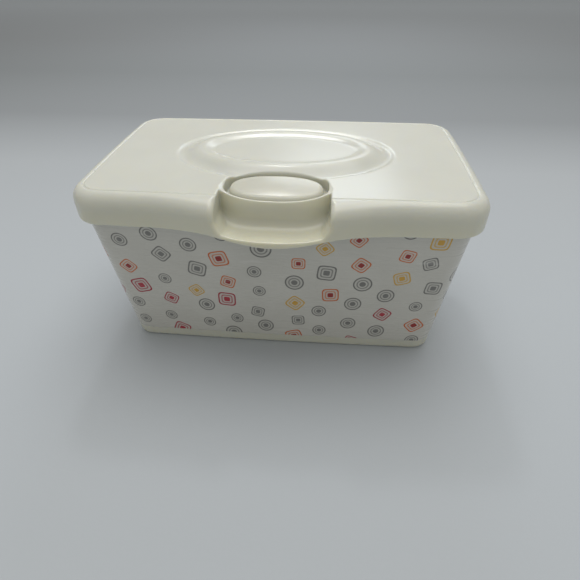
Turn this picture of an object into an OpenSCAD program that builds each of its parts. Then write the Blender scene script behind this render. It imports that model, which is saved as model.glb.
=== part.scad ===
// Countertop wipes dispenser: a tapered tub with a printed wrap, a lift-off collar with a
// soft dispensing membrane, and a hinged lid that a rocking push button holds shut.
// Origin: centre of the tub's flat base. +X to the right, +Y to the hinge, +Z up.

/* [Tub] */
// Outer width of the tub just under the lid
tub_top_w = 209.7; // [206:0.1:211]
// Outer depth of the tub just under the lid
tub_top_d = 121.3; // [119:0.1:122]
// Outer width of the tub at its base
tub_base_w = 195.4; // [180:0.1:206]
// Outer depth of the tub at its base
tub_base_d = 103; // [95:0.1:118]
// Wall thickness of every moulded shell
wall = 1.6; // [1.4:0.1:1.8]
// Bare band of the tub below the printed wrap
bare_band = 8; // [4:0.5:20]
// Thickness of the printed wrap, which lies flush in the tub's wall
wrap_t = 0.3; // [0.2:0.05:0.5]

/* [Lid] */
// Outer width of the lid at the middle of its sides
lid_w = 220; // [219:0.5:224]
// Outer depth of the lid at the middle of its sides
lid_d = 131.6; // [131:0.1:134]
// Height of the lid's flat top above the base
lid_top = 109; // [108.5:0.1:110]
// Height of the lower edge of the skirt above the base
skirt_z = 92.2; // [91.8:0.1:92.6]
// How far the rounded shoulder reaches out from the crease of the top
shoulder_out = 6.9; // [5:0.1:8]
// How far the shoulder drops before it meets the skirt
shoulder_drop = 8.1; // [7:0.1:9]
// How far the lid's and the tub's sides bow out at their middles
bow = 1.25; // [0.5:0.05:2]
// Corner radius of the flat top
top_r = 10.4; // [8:0.1:12]

/* [Medallion] */
// Half width of the oval channel's outer edge
channel_a = 66; // [62:0.5:72]
// Half depth of the oval channel's outer edge
channel_b = 41; // [38:0.5:44]
// Height of the oval rim above the flat top
rim_h = 3; // [1.5:0.1:3.5]
// Depth of the channel round the raised oval
channel_h = 0.8; // [0.3:0.1:1]

/* [Latch] */
// How far the front of the lid bulges out at the latch
bulge_out = 9; // [7:0.1:10]
// Half width of that bulge
bulge_a = 66; // [55:1:75]
// How far the skirt's lower edge dips at the latch
dip_h = 4; // [3.5:0.1:4]
// Half width of the thumb scoop at the top
scoop_a = 28.8; // [28:0.1:28.8]
// Half width of the thumb scoop at its lip
lip_a = 25; // [23:0.1:26]
// Distance of the scoop's back panel in front of the middle of the lid
panel_y = 58; // [57.8:0.1:58.4]
// Depth of the dish round the button, at its middle
dish_h = 3.9; // [3.5:0.1:4.2]
// Half width of the well that the button sits in
well_a = 27.5; // [26.8:0.1:27.6]
// Half width of the button's head
head_a = 25; // [24:0.1:25.2]
// Half depth of the button's head
head_b = 11.6; // [11:0.1:11.7]
// Angle that the button rocks through, as the joint has it
button_rock = 8; // [6:0.5:8]

/* [Collar and membrane] */
// Half width of the opening in the deck
orifice_a = 46; // [40:0.5:47]
// Half depth of the opening in the deck
orifice_b = 17.5; // [15:0.5:18]
// Length of the slot that the wipes come through
slot_l = 62; // [50:1:68]
// Width of the slot at its middle
slot_w = 10; // [9:0.5:14]

/* [Hinge] */
// Radius of the hinge pins
pin_r = 1.25; // [1:0.05:1.4]
// Radial clearance of a pin in the part that turns on it
pin_gap = 0.05; // [0.03:0.01:0.1]
// Distance of each knuckle's middle from the middle of the lid
knuckle_x = 36; // [33:0.5:50]

/* [Hidden] */

cream = [0.90, 0.90, 0.83];
cream_dull = [0.83, 0.83, 0.76];
print_white = [0.86, 0.86, 0.84];
button_white = [0.93, 0.93, 0.90];
soft_grey = [0.70, 0.71, 0.69];
steel = [0.62, 0.63, 0.64];

// Points along one side of an outline, and steps round each of its corners
front_steps = 30;
back_steps = 8;
end_steps = 6;
corner_steps = 6;

gap = 0.4; // between moulded parts that move past each other
step_z = 93; // where the tub's rim steps in to take the collar
wrap_top = 92.6; // upper edge of the printed wrap, behind the lid's skirt
rim_z = 99; // top of the tub's rim
deck_z = 101; // top of the collar's deck
under_z = lid_top - wall; // underside of the lid
foot_r = 2.5; // rounding round the tub's base

tub_hx = tub_top_w / 2;
tub_hy = tub_top_d / 2;
collar_hx = tub_hx + 0.75;
collar_hy = tub_hy + 0.75;
crease_hx = lid_w / 2 - shoulder_out;
crease_hy = lid_d / 2 - shoulder_out;

// The latch, in front of the middle of the lid
notch_a = scoop_a + wall + 2.9; // half width of the notch in the tub's rim
notch_z = 88.4;
pocket_a = notch_a - 0.6;
pocket_back = -28.6;
pocket_z = 86.6; // floor of the collar's pocket
pocket_front = -57.2;
floor_z = 90.6; // the scoop's floor, where the thumb goes
foot_z = 96; // where the back panel starts to curve into that floor
foot_l = 8.5; // how far that curve reaches forwards
lip_h = 0.7; // raised edge of the scoop's lip
lip_t = 1.2;
dish_y = -48;
dish_a = 29;
dish_b = 16;
well_y = -44.1;
well_b = 12.5;
well_z = 102.9; // floor of the well
head_y = -44.55;
head_z = 107.7; // height of the head's tilted plane at head_y
head_tilt = 0.135; // rise of that plane towards the hinge
head_skirt = 2.9; // how far the head's edge hangs below that plane
button_y = -41.6;
button_a = 18.4; // half size of the neck below the head
button_b = 7.6;
hole_gap = 1.2; // round the neck
axle_y = -52.5;
axle_z = 98;
ear_x = 9.6;
ear_w = 3;
hook_z = 88.6;
nose_y = -51.25;
catch_y = -51;
catch_z = 90.8;

hinge_y = lid_d / 2 + 0.4;
hinge_z = 94;
knuckle_r = 3;
knuckle_w = 14;
hinge_ear_w = 5;
turn_gap = 0.3; // between a knuckle and the ear beside it
ear_offset = knuckle_w / 2 + turn_gap + hinge_ear_w / 2;
pin_l = knuckle_w + 2 * hinge_ear_w;

seal_a = 56;
seal_b = 25;
seal_t = 2.4;
orifice_y = 2;

function smooth(t) = let (u = min(1, max(0, t))) u * u * (3 - 2 * u);

function line(p, q, n) = [for (i = [1:n - 1]) p + (q - p) * i / n];

function corner(x, y, r, start) =
    [for (i = [0:corner_steps])
        let (a = start + 90 * i / corner_steps) [x + r * cos(a), y + r * sin(a)]];

// Points along the front, which stand closer together at the latch
function front_line(cx, y) =
    [for (i = [1:front_steps - 1]) let (t = 2 * i / front_steps - 1) [cx * (0.4 * t + 0.6 * pow(t, 3)), y]];

// A rectangle with round corners, whose sides bow out to the half sizes hx and hy
function outline(hx, hy, r) = let (
        x = hx - bow, y = hy - bow, cx = x - r, cy = y - r,
        straight = concat(
            front_line(cx, -y), corner(cx, -cy, r, -90),
            line([x, -cy], [x, cy], end_steps), corner(cx, cy, r, 0),
            line([cx, y], [-cx, y], back_steps), corner(-cx, cy, r, 90),
            line([-x, cy], [-x, -cy], end_steps), corner(-cx, -cy, r, 180)))
    [for (p = straight) [
        p.x * (1 + bow / hx * (1 - pow(p.y / hy, 2))),
        p.y * (1 + bow / hy * (1 - pow(p.x / hx, 2)))]];

function oval(a, b, n = 72) = [for (i = [0:n - 1]) [a * cos(360 * i / n), b * sin(360 * i / n)]];

// An oval whose ends are fuller the higher its power
function full_oval(a, b, power, n = 48) = [for (i = [0:n - 1])
    let (c = cos(360 * i / n), s = sin(360 * i / n))
    [a * sign(c) * pow(abs(c), 2 / power), b * sign(s) * pow(abs(s), 2 / power)]];

function at_z(points, z) = [for (p = points) [p.x, p.y, z]];

// A closed skin over rings of equally many points, the first ring lowest on the outside
module skin(rings) {
    n = len(rings[0]);
    m = len(rings);
    points = [for (ring = rings) each ring];
    sides = [for (k = [0:m - 2], i = [0:n - 1]) let (j = (i + 1) % n)
        each [[k * n + i, (k + 1) * n + i, (k + 1) * n + j], [k * n + i, (k + 1) * n + j, k * n + j]]];
    bottom = [for (i = [0:n - 1]) i];
    top = [for (i = [0:n - 1]) m * n - 1 - i];
    polyhedron(points, concat(sides, [bottom, top]));
}

// The same skin, closed by a fan of triangles round a point at each end
module skin_with_poles(rings, first, last) {
    n = len(rings[0]);
    m = len(rings);
    points = concat([for (ring = rings) each ring], [first, last]);
    sides = [for (k = [0:m - 2], i = [0:n - 1]) let (j = (i + 1) % n)
        each [[k * n + i, (k + 1) * n + i, (k + 1) * n + j], [k * n + i, (k + 1) * n + j, k * n + j]]];
    start = [for (i = [0:n - 1]) [n * m, i, (i + 1) % n]];
    end = [for (i = [0:n - 1]) [n * m + 1, (m - 1) * n + (i + 1) % n, (m - 1) * n + i]];
    polyhedron(points, concat(sides, start, end));
}

module along_x(x, y, z, r, length) {
    translate([x - length / 2, y, z]) rotate([0, 90, 0]) cylinder(h = length, r = r, $fn = 48);
}

module box(low, high) {
    translate(low) cube(high - low);
}

// ---- Tub ----

// Half size of the tub's outside at a height, in x when side is 0 and in y when it is 1
function tub_half(side, z) = let (
        base = side == 0 ? tub_base_w / 2 : tub_base_d / 2,
        top = side == 0 ? tub_hx : tub_hy)
    base + (top - base) * z / skirt_z;

function tub_ring(z, inset) =
    at_z(outline(tub_half(0, z) - inset, tub_half(1, z) - inset, top_r - inset / 2), z);

module rim_notch() {
    box([-notch_a, -80, notch_z], [notch_a, -40, 120]);
}

module tub() {
    color(cream_dull) difference() {
        skin([
            tub_ring(0, foot_r), tub_ring(foot_r * 0.3, foot_r * 0.3), tub_ring(foot_r, 0),
            tub_ring(bare_band, 0), tub_ring(bare_band, wrap_t),
            tub_ring(wrap_top, wrap_t), tub_ring(wrap_top, 0),
            tub_ring(step_z, 0),
            at_z(outline(tub_hx - 0.95, tub_hy - 0.95, top_r), step_z),
            at_z(outline(tub_hx - 0.95, tub_hy - 0.95, top_r), rim_z)]);
        skin([
            tub_ring(wall + 0.4, wall + foot_r), tub_ring(wall + foot_r, wall),
            at_z(outline(tub_hx - wall - 0.95, tub_hy - wall - 0.95, top_r - wall), skirt_z - 3),
            at_z(outline(tub_hx - wall - 0.95, tub_hy - wall - 0.95, top_r - wall), rim_z + 1)]);
        rim_notch();
    }
}

module printed_wrap() {
    color(print_white) difference() {
        skin([tub_ring(bare_band, 0), tub_ring(wrap_top, 0)]);
        skin([tub_ring(bare_band - 1, wrap_t), tub_ring(wrap_top + 1, wrap_t)]);
        rim_notch();
    }
}

// ---- Collar ----

module slab(hx, hy, r, z0, z1) {
    translate([0, 0, z0]) linear_extrude(z1 - z0) polygon(outline(hx, hy, r));
}

// A rib that follows the rim: outer half sizes less the inset, one wall thick
module rim_rib(inset, t, z0, z1) {
    difference() {
        slab(collar_hx - inset, collar_hy - inset, top_r, z0, z1);
        slab(collar_hx - inset - t, collar_hy - inset - t, top_r - t, z0 - 1, z1 + 1);
    }
}

module pocket_outside() {
    box([-pocket_a, pocket_front, pocket_z - wall], [pocket_a, pocket_back, deck_z]);
    box([-pocket_a, pocket_front - 2.6, notch_z + gap], [pocket_a, pocket_back, deck_z]);
}

module pocket_inside() {
    a = pocket_a - wall;
    box([-a, pocket_front + wall, pocket_z], [a, pocket_back - wall, 120]);
    box([-a, -80, floor_z - gap], [a, pocket_back - wall, 120]);
}

// The bar that the button's hook reaches under, on two posts
module catch_bar() {
    bar_a = 9;
    box([-bar_a, catch_y, catch_z], [bar_a, catch_y + 2.4, catch_z + 2]);
    for (side = [-1, 1])
        translate([side * (bar_a - 0.9) - 0.9, catch_y, pocket_z - 1]) cube([1.8, 2.4, catch_z + 3 - pocket_z]);
}

// The pocket in the deck that the latch hangs in, open at its top and towards the lid's scoop
module latch_pocket() {
    color(cream) {
        difference() {
            pocket_outside();
            pocket_inside();
        }
        catch_bar();
    }
}

module knuckle(x) {
    difference() {
        union() {
            along_x(x, hinge_y, hinge_z, knuckle_r, knuckle_w);
            box([x - knuckle_w / 2, tub_hy + 0.35, hinge_z - knuckle_r],
                [x + knuckle_w / 2, hinge_y, hinge_z + knuckle_r]);
        }
        along_x(x, hinge_y, hinge_z, pin_r + pin_gap, knuckle_w + 2);
    }
}

module collar() {
    color(cream) {
        difference() {
            union() {
                rim_rib(0, 1.5, step_z + 0.3, deck_z - wall);
                rim_rib(1.5 + 0.4 + wall + 0.4, 1.4, rim_z - 4, deck_z - wall);
                slab(collar_hx, collar_hy, top_r, deck_z - wall, deck_z);
            }
            box([-pocket_a, -80, 80], [pocket_a, pocket_back, 120]);
            translate([0, orifice_y, 90]) linear_extrude(20) polygon(oval(orifice_a, orifice_b));
        }
        for (side = [-1, 1]) knuckle(side * knuckle_x);
    }
}

// Soft sheet gripped by the edge of the deck's opening, with a slot for the wipes
module orifice_membrane() {
    lip = 2.2;
    color(soft_grey) translate([0, orifice_y, 0]) difference() {
        union() {
            translate([0, 0, deck_z]) linear_extrude(0.9) polygon(oval(orifice_a + lip, orifice_b + lip));
            translate([0, 0, deck_z - wall]) linear_extrude(wall) polygon(oval(orifice_a, orifice_b));
            translate([0, 0, deck_z - wall - 0.9]) linear_extrude(0.9)
                polygon(oval(orifice_a + lip, orifice_b + lip));
        }
        for (end = [-1, 1]) {
            face = end < 0 ? deck_z - wall - 2 : deck_z - 0.2;
            translate([0, 0, face]) linear_extrude(2) polygon(oval(orifice_a - 3, orifice_b - 3));
        }
        translate([0, 0, 90]) linear_extrude(20) polygon(oval(slot_l / 2, slot_w / 2, 48));
        for (end = [-1, 1])
            translate([end * (slot_l / 2 - 3), 0, 90]) cylinder(h = 20, r = 4, $fn = 32);
    }
}

// ---- Lid ----

// How far a point of the front is carried out and down at the latch
function hump(x, a) = abs(x) < a ? (1 + cos(180 * x / a)) / 2 : 0;
function bulge(x) = bulge_out * hump(x, bulge_a);
function dip(x) = dip_h * hump(x, 42);

// A ring of the lid: the crease's outline grown by out, at height z, shaped at the latch
function lid_ring(out, z, share_out = 1) = let (
        share_down = min(1, max(0, (lid_top - shoulder_drop - z) / (lid_top - shoulder_drop - skirt_z))))
    [for (p = outline(crease_hx + out, crease_hy + out, top_r + out * 0.7))
        p.y < 0 ? [p.x, p.y - bulge(p.x) * share_out, z - dip(p.x) * share_down] : [p.x, p.y, z]];

// An oval ring whose points lie in the same directions as those of the crease
function lid_oval(a, b, y, z) =
    [for (p = outline(crease_hx, crease_hy, top_r))
        let (t = atan2(p.y / b, p.x / a)) [a * cos(t), y + b * sin(t), z]];

medallion_y = 1;
function medallion_ring(inset, z) = lid_oval(channel_a - inset, channel_b - inset * 0.9, medallion_y, z);

rim_z_top = lid_top + rim_h;
oval_dish_z = lid_top + rim_h * 0.43;
outer_top_rings = [
    lid_oval(41, 18, medallion_y, oval_dish_z), lid_oval(44.5, 21.5, medallion_y, oval_dish_z + 0.5),
    lid_oval(47.5, 24.5, medallion_y, rim_z_top - 0.25), medallion_ring(16, rim_z_top),
    medallion_ring(12.5, rim_z_top - 0.5), medallion_ring(8.5, lid_top + 0.9),
    medallion_ring(5, lid_top - channel_h * 0.7), medallion_ring(3.4, lid_top - channel_h),
    medallion_ring(1.4, lid_top - channel_h * 0.5), medallion_ring(0, lid_top)];

// A ring of the rounded shoulder, whose top stays flat furthest out in front of the latch
function shoulder_ring(a, inset) = lid_ring(
    (shoulder_out - inset) * sin(a),
    lid_top - shoulder_drop * (1 - cos(a)) - inset * cos(a),
    pow(sin(a), 0.6));

crease_rings = [lid_ring(-0.5, lid_top, 0), lid_ring(-0.1, lid_top - 0.4, 0)];
shoulder_rings = [for (a = [8, 26, 42, 58, 74, 90]) shoulder_ring(a, 0)];
skirt_rings = [
    lid_ring(shoulder_out - 0.1, skirt_z + 1.2), lid_ring(shoulder_out - 0.5, skirt_z + 0.2),
    lid_ring(shoulder_out - 1, skirt_z), lid_ring(shoulder_out - wall, skirt_z)];
inner_rings = [
    lid_ring(shoulder_out - wall, lid_top - shoulder_drop),
    for (a = [70, 45, 15]) shoulder_ring(a, wall),
    lid_oval(seal_a + 3, seal_b + 3, orifice_y, under_z),
    lid_oval(52, 21.5, orifice_y, under_z), lid_oval(50, 19.5, orifice_y, under_z + 1.2)];

module lid_skin() {
    rings = concat(outer_top_rings, crease_rings, shoulder_rings, skirt_rings, inner_rings);
    skin_with_poles([for (i = [len(rings) - 1:-1:0]) rings[i]],
        [0, orifice_y, under_z + 1.2], [0, medallion_y, oval_dish_z]);
}

// The space inside the lid's shoulder and skirt, carried down past the skirt
module lid_envelope() {
    skin(concat([at_z(lid_ring(shoulder_out, skirt_z), 80)], [for (i = [5:-1:1]) shoulder_rings[i]]));
}

// Plan of the scoop: its back panel is flat in the middle and falls back at its ends
function panel_line(x) = -panel_y + 6 * pow(x / scoop_a, 4);

// The scoop's floor rises towards its ends, and its lip follows the bulge
function floor_line(x) = floor_z + 1.4 * pow(x / 24, 4);
function lip_front(x) = -lid_d / 2 - bulge(x);

// Section of the scoop from left to right, its floor at a height above floor_line
module scoop_front(grow, above) {
    half = [for (z = [floor_line(lip_a) + 1:1.5:floor_z + 11])
        [lip_a + grow + (scoop_a - lip_a) * smooth((z - floor_z) / 9), z]];
    n = len(half);
    translate([0, -30, 0]) rotate([90, 0, 0]) linear_extrude(80) polygon(concat(
        [for (i = [-8:8]) let (x = lip_a * i / 8) [x, floor_line(x) - grow + above]],
        half, [[scoop_a + grow, 125], [-scoop_a - grow, 125]],
        [for (i = [n - 1:-1:0]) [-half[i].x, half[i].y]]));
}

// Plan of the scoop from its back panel forwards, up to the lip or past it
module scoop_plan(grow, to_lip) {
    half = scoop_a + grow + 1;
    xs = [for (i = [-10:10]) i / 10 * half];
    translate([0, 0, 60]) linear_extrude(80) polygon(concat(
        [for (x = xs) [x, panel_line(x) + grow]],
        [for (i = [20:-1:0]) [xs[i], to_lip ? lip_front(xs[i]) + lip_t : -90]]));
}

// Section of the scoop from back to front, where the panel curves into the floor
module scoop_side(grow) {
    reach = -90;
    translate([-50, 0, 0]) rotate([90, 0, 90]) linear_extrude(100) polygon(concat(
        [[-50 + grow, 125], [-50 + grow, foot_z + 1], [-panel_y + grow, foot_z]],
        [for (a = [15:15:90]) [
            -panel_y - foot_l * (1 - cos(a)) + grow * cos(a),
            foot_z - (foot_z - floor_z) * sin(a) - grow * sin(a)]],
        [[reach, floor_z - grow + lip_h * 0.5], [reach, 125]]));
}

module scoop_solid(grow) {
    intersection() {
        scoop_side(grow);
        scoop_plan(grow, false);
        scoop_front(grow, 0);
    }
}

module scoop_hollow() {
    intersection() {
        scoop_side(0);
        scoop_plan(0, true);
        scoop_front(0, 0);
    }
    intersection() {
        scoop_side(0);
        scoop_plan(0, false);
        scoop_front(0, lip_h);
    }
}

// The shallow dish round the button, and the well in it that the button sits in
module bowl(grow) {
    shares = [0.25, 0.5, 0.7, 0.84, 0.94, 1];
    rings = [for (s = shares)
        at_z(oval(dish_a * s + grow, dish_b * s + grow, 48), lid_top - dish_h * (1 - pow(s, 4)) - grow)];
    top = at_z(oval(dish_a + grow, dish_b + grow, 48), 120);
    translate([0, dish_y, 0]) skin(concat(rings, [top]));
    translate([0, well_y, well_z - grow]) linear_extrude(20)
        polygon(full_oval(well_a + grow, well_b + grow, 3));
}

module axle_ear(x) {
    box([x - ear_w / 2, -56.9, axle_z], [x + ear_w / 2, axle_y + 2.7, 102.4]);
    along_x(x, axle_y, axle_z, 2.7, ear_w);
}

module hinge_ear(x) {
    difference() {
        along_x(x, hinge_y, hinge_z, knuckle_r, hinge_ear_w);
        along_x(x, hinge_y, hinge_z, pin_r, hinge_ear_w + 2);
    }
}

module lid_shell() {
    color(cream) {
        difference() {
            union() {
                lid_skin();
                intersection() {
                    lid_envelope();
                    union() {
                        scoop_solid(wall);
                        bowl(wall);
                        for (side = [-1, 1]) axle_ear(side * (ear_x + ear_w / 2));
                    }
                }
            }
            scoop_hollow();
            bowl(0);
            translate([0, button_y, 90]) linear_extrude(30)
                polygon(oval(button_a + hole_gap, button_b + hole_gap, 48));
            along_x(0, axle_y, axle_z, pin_r, 40);
            for (side = [-1, 1]) {
                along_x(side * knuckle_x, hinge_y, hinge_z, pin_r, pin_l);
                box([side * knuckle_x - ear_offset + hinge_ear_w / 2, 60, 80],
                    [side * knuckle_x + ear_offset - hinge_ear_w / 2, 75, hinge_z + knuckle_r + gap]);
            }
        }
        for (side = [-1, 1], end = [-1, 1]) hinge_ear(side * knuckle_x + end * ear_offset);
    }
}

// Soft lip that closes on the deck round the membrane
module lid_seal() {
    color(soft_grey) translate([0, orifice_y, deck_z + 0.3]) linear_extrude(under_z - deck_z - 0.3)
        difference() {
            polygon(oval(seal_a, seal_b));
            polygon(oval(seal_a - seal_t, seal_b - seal_t));
        }
}

module hinge_pin(x) {
    color(steel) along_x(x, hinge_y, hinge_z, pin_r, pin_l);
}

module hinge_pin_left() {
    hinge_pin(-knuckle_x);
}

module hinge_pin_right() {
    hinge_pin(knuckle_x);
}

// ---- Button ----

// The head leans towards the thumb. Its sides hang below its tilted plane by drop.
module button_head(inset, drop) {
    profile = [[1, -drop], [1, -1.2], [0.985, -0.6], [0.94, -0.1], [0.8, 0.25], [0.5, 0.52], [0.2, 0.67]];
    translate([0, head_y, 0]) skin([for (p = profile)
        [for (q = full_oval((head_a - inset) * p[0], (head_b - inset) * p[0], 2.3))
            [q.x, q.y, head_z + p[1] + head_tilt * q.y - inset]]]);
}

// Oval tube that carries the head through the floor of the well. The stop round its foot is
// cut off behind the lid's axle ears.
module button_neck() {
    difference() {
        union() {
            intersection() {
                button_head(0.7, 10);
                translate([0, button_y, 99.5]) linear_extrude(12) polygon(oval(button_a, button_b, 48));
            }
            translate([0, 0, 99.5]) linear_extrude(1.4) intersection() {
                translate([0, button_y]) polygon(oval(button_a + 2.6, button_b + 2, 48));
                translate([-30, -49.4]) square([60, 30]);
            }
        }
        translate([0, button_y, 98]) linear_extrude(20) polygon(oval(button_a - 1.5, button_b - 1.5, 48));
    }
}

module push_button() {
    barrel_w = 10;
    color(button_white) difference() {
        union() {
            difference() {
                button_head(0, head_skirt);
                button_head(1.5, head_skirt + 2);
            }
            button_neck();
            box([-5, axle_y, 98.8], [5, button_y + button_b - 0.7, 101.2]);
            along_x(0, axle_y, axle_z, 2.6, barrel_w);
            box([-5, axle_y - 1.8, hook_z], [5, axle_y + 0.2, axle_z]);
            box([-5, axle_y - 1.8, hook_z], [5, nose_y, catch_z - gap]);
        }
        along_x(0, axle_y, axle_z, pin_r + pin_gap, barrel_w + 2);
    }
}

module button_axle() {
    color(steel) along_x(0, axle_y, axle_z, pin_r, 2 * (ear_x + ear_w));
}

// Torsion spring on the axle: its coil as a sleeve, with one leg on the panel, one by the hook
module button_spring() {
    wire = 0.3;
    coil_w = 3.6;
    x = 7.4;
    color(steel) {
        difference() {
            along_x(x, axle_y, axle_z, 2.2, coil_w);
            along_x(x, axle_y, axle_z, 1.6, coil_w + 2);
        }
        for (leg = [[x + 1.4, -54.45, -56.05], [x - 1.5, -54.3, -55.25]])
            translate([leg[0], leg[1], axle_z]) rotate([atan2(leg[1] - leg[2], 5.5), 0, 0])
                translate([0, 0, -5.5]) cylinder(h = 5.5, r = wire, $fn = 16);
    }
}

tub();
printed_wrap();
collar();
latch_pocket();
orifice_membrane();
lid_shell();
lid_seal();
hinge_pin_left();
hinge_pin_right();
push_button();
button_axle();
button_spring();
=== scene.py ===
"""Looks of a countertop wipes dispenser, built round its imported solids.

The moulded shells are closed surfaces of distance fields, so that every edge and inside corner has
its small moulding radius. Fields work in millimetres, in the part's frame; meshes are in metres.
"""
import math

import bpy
import numpy as np
from mathutils import Matrix, Vector


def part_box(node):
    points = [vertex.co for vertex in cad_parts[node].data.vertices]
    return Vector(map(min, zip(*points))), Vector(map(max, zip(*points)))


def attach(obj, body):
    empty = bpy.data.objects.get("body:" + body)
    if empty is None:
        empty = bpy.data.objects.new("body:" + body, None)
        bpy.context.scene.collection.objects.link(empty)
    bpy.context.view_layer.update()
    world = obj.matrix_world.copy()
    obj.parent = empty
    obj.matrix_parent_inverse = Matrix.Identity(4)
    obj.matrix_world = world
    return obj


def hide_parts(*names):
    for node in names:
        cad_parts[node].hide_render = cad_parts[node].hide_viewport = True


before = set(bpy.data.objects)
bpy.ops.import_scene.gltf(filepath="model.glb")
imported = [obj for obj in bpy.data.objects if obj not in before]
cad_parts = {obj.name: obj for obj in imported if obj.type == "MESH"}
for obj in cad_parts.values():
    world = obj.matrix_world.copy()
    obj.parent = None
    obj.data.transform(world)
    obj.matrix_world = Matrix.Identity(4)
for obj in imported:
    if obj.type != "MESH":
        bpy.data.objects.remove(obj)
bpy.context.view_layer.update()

MM = 0.001


def box_mm(node):
    """Lowest and highest corners of a solid, in millimetres."""
    return [np.array(corner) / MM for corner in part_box(node)]


# ---------------------------------------------------------------- sizes, in millimetres

lid_low, lid_high = box_mm("lid_shell")

WALL = 1.6
BOW = 1.25  # how far each side bows out at its middle
CORNER = 10.4

SHOULDER_OUT = 6.9
SHOULDER_DROP = 8.1
TOP = 109.0
SKIRT = 92.2
HINGE_Y = 66.2
HINGE_Z = 94.0
HINGE_R = 3.0  # of the knuckles and of the lid's ears beside them
KNUCKLE_X = 36.0
KNUCKLE_W = 14.0
HINGE_EAR_X = 9.635  # from a knuckle's middle to that of each ear
HINGE_EAR_W = 4.67
LID_HALF = (lid_high[0] - 0.03, 65.8)
CREASE_HALF = (LID_HALF[0] - SHOULDER_OUT, LID_HALF[1] - SHOULDER_OUT)
BULGE = -lid_low[1] - LID_HALF[1] - 0.03  # how far the front swells out at the latch
BULGE_HALF = 66.0
DIP = 4.0  # how far the skirt's edge drops there
DIP_HALF = 42.0

MEDALLION_Y = 1.0
CHANNEL = (66.0, 41.0)  # half sizes of the oval channel
CHANNEL_DEPTH = 0.8
RIM_H = 3.0
MIDDLE_DROP = 1.7  # of the oval's middle below its rim

PANEL_Y = -58.0
SCOOP_HALF = 28.8
LIP_HALF = 25.0
FLOOR = 90.6
FOOT_H = 5.4
FOOT_L = 8.5
LIP_H = 0.7
LIP_W = 1.3
DISH_Y = -48.0
DISH = (29.0, 16.0)
DISH_DEPTH = 3.9
WELL_Y = -44.1
WELL = (27.5, 12.5)
WELL_FLOOR = 102.9
WELL_POWER = 3.0
HEAD_Y = -44.55
HEAD = (25.0, 11.6)
HEAD_Z = 107.7  # height of the head's leaning plane at its middle
HEAD_TILT = 0.135
HEAD_SKIRT = 2.9
HEAD_CROWN = 0.7
HEAD_POWER = 2.3
NECK_Y = -41.6
NECK = (18.4, 7.6)
NECK_GAP = 1.2
STOP_OUT = (2.6, 2.0)  # how far the stop reaches out from the neck
STOP_Z = (99.5, 100.9)
AXLE_Y = -52.5
AXLE_Z = 98.0
EAR_X = 11.1  # middle of each ear that holds the axle
EAR_W = 2.9
EAR_R = 2.7
ARM_HALF = 5.0
ARM_Z = (98.8, 101.2)
HOOK_FRONT = AXLE_Y - 1.6  # 0.2 behind the solid's, to clear the pocket's wall as it rocks
HOOK_LOW = 88.6
NOSE_BACK = -51.25
NOSE_TOP = 90.4

TUB_TOP = (104.85, 60.65)  # half sizes just under the lid
TUB_BASE = (97.7, 51.5)
RIM_STEP = 93.0
RIM_HALF = (103.9, 59.7)
RIM_TOP = 99.0
TUB_INSIDE = (96.4, 50.3)  # half sizes of the inside at its foot
TUB_FLARE = (5.9, 7.8)  # how much they grow up to the rim
TUB_FLOOR = 2.0
TUB_FOOT_R = 3.0
FILM = 0.3
FILM_Z = (8.0, 92.6)
NOTCH = (33.3, 88.4)  # half width and floor of the notch in the tub's front

COLLAR_HALF = (105.6, 61.4)
DECK = 101.0
ORIFICE_Y = 2.0
ORIFICE = (46.0, 17.5)
SLOT = (31.0, 5.0)
POCKET_HALF = 32.7
POCKET_Y = (-57.2, -28.6)
POCKET_Z = 86.6
CATCH_HALF = 9.0  # of the bar that the button's hook catches
CATCH_Y = (-51.0, -48.6)
CATCH_Z = (90.8, 92.8)
POST_X = 8.1
POST_HALF = 0.9
SEAL = (56.0, 25.0)
SEAL_LOW = 101.3

# ---------------------------------------------------------------- fields


def smooth(t):
    """Eased step from 0 to 1 as t does the same."""
    t = np.clip(t, 0, 1)
    return t * t * (3 - 2 * t)


def hump(x, half):
    """Bell of 1 at its middle that ends at half to either side."""
    return np.where(np.abs(x) < half, (1 + np.cos(np.pi * x / half)) / 2, 0)


def common(a, b, radius):
    """Both solids at once, its outer edge rounded."""
    h = np.clip(0.5 + 0.5 * (a - b) / radius, 0, 1)
    return b + (a - b) * h + radius * h * (1 - h)


def joined(a, b, radius):
    """Either solid, its inner corner filled."""
    return -common(-a, -b, radius)


def less(a, b, radius):
    """The first solid without the second, its edge rounded."""
    return common(a, -b, radius)


def outline(x, y, half_x, half_y):
    """Distance to a rectangle with round corners whose sides bow out."""
    across = np.abs(x) + BOW * np.minimum(1, (y / half_y) ** 2) - (half_x - CORNER)
    along = np.abs(y) + BOW * np.minimum(1, (x / half_x) ** 2) - (half_y - CORNER)
    corner = np.hypot(np.maximum(across, 0), np.maximum(along, 0))
    return corner + np.minimum(np.maximum(across, along), 0) - CORNER


def oval(x, y, half, power=2.0):
    """Distance to an oval, true close to its edge. A higher power fills its ends."""
    u, v = np.abs(x / half[0]), np.abs(y / half[1])
    k = np.maximum(u**power + v**power, 1e-12) ** (1 / power)
    slope = np.hypot((u / k) ** (power - 1) / half[0], (v / k) ** (power - 1) / half[1])
    return (k - 1) / np.maximum(slope, 1 / max(half))


def block(x, y, z, low, high, radius=0.3):
    """A box from its lowest to its highest corner."""
    sides = [np.maximum(low[i] - p, p - high[i]) for i, p in enumerate((x, y, z))]
    return common(common(sides[0], sides[1], radius), sides[2], radius)


def rod(x, y, z, middle, radius, length):
    """A bar along x."""
    return common(np.hypot(y - middle[1], z - middle[2]) - radius, np.abs(x - middle[0]) - length / 2, 0.3)


def plate(flat, z, low, high, radius=0.4):
    """An outline given thickness from low to high."""
    return common(flat, np.maximum(low - z, z - high), radius)


# ---------------------------------------------------------------- meshes from fields


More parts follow.
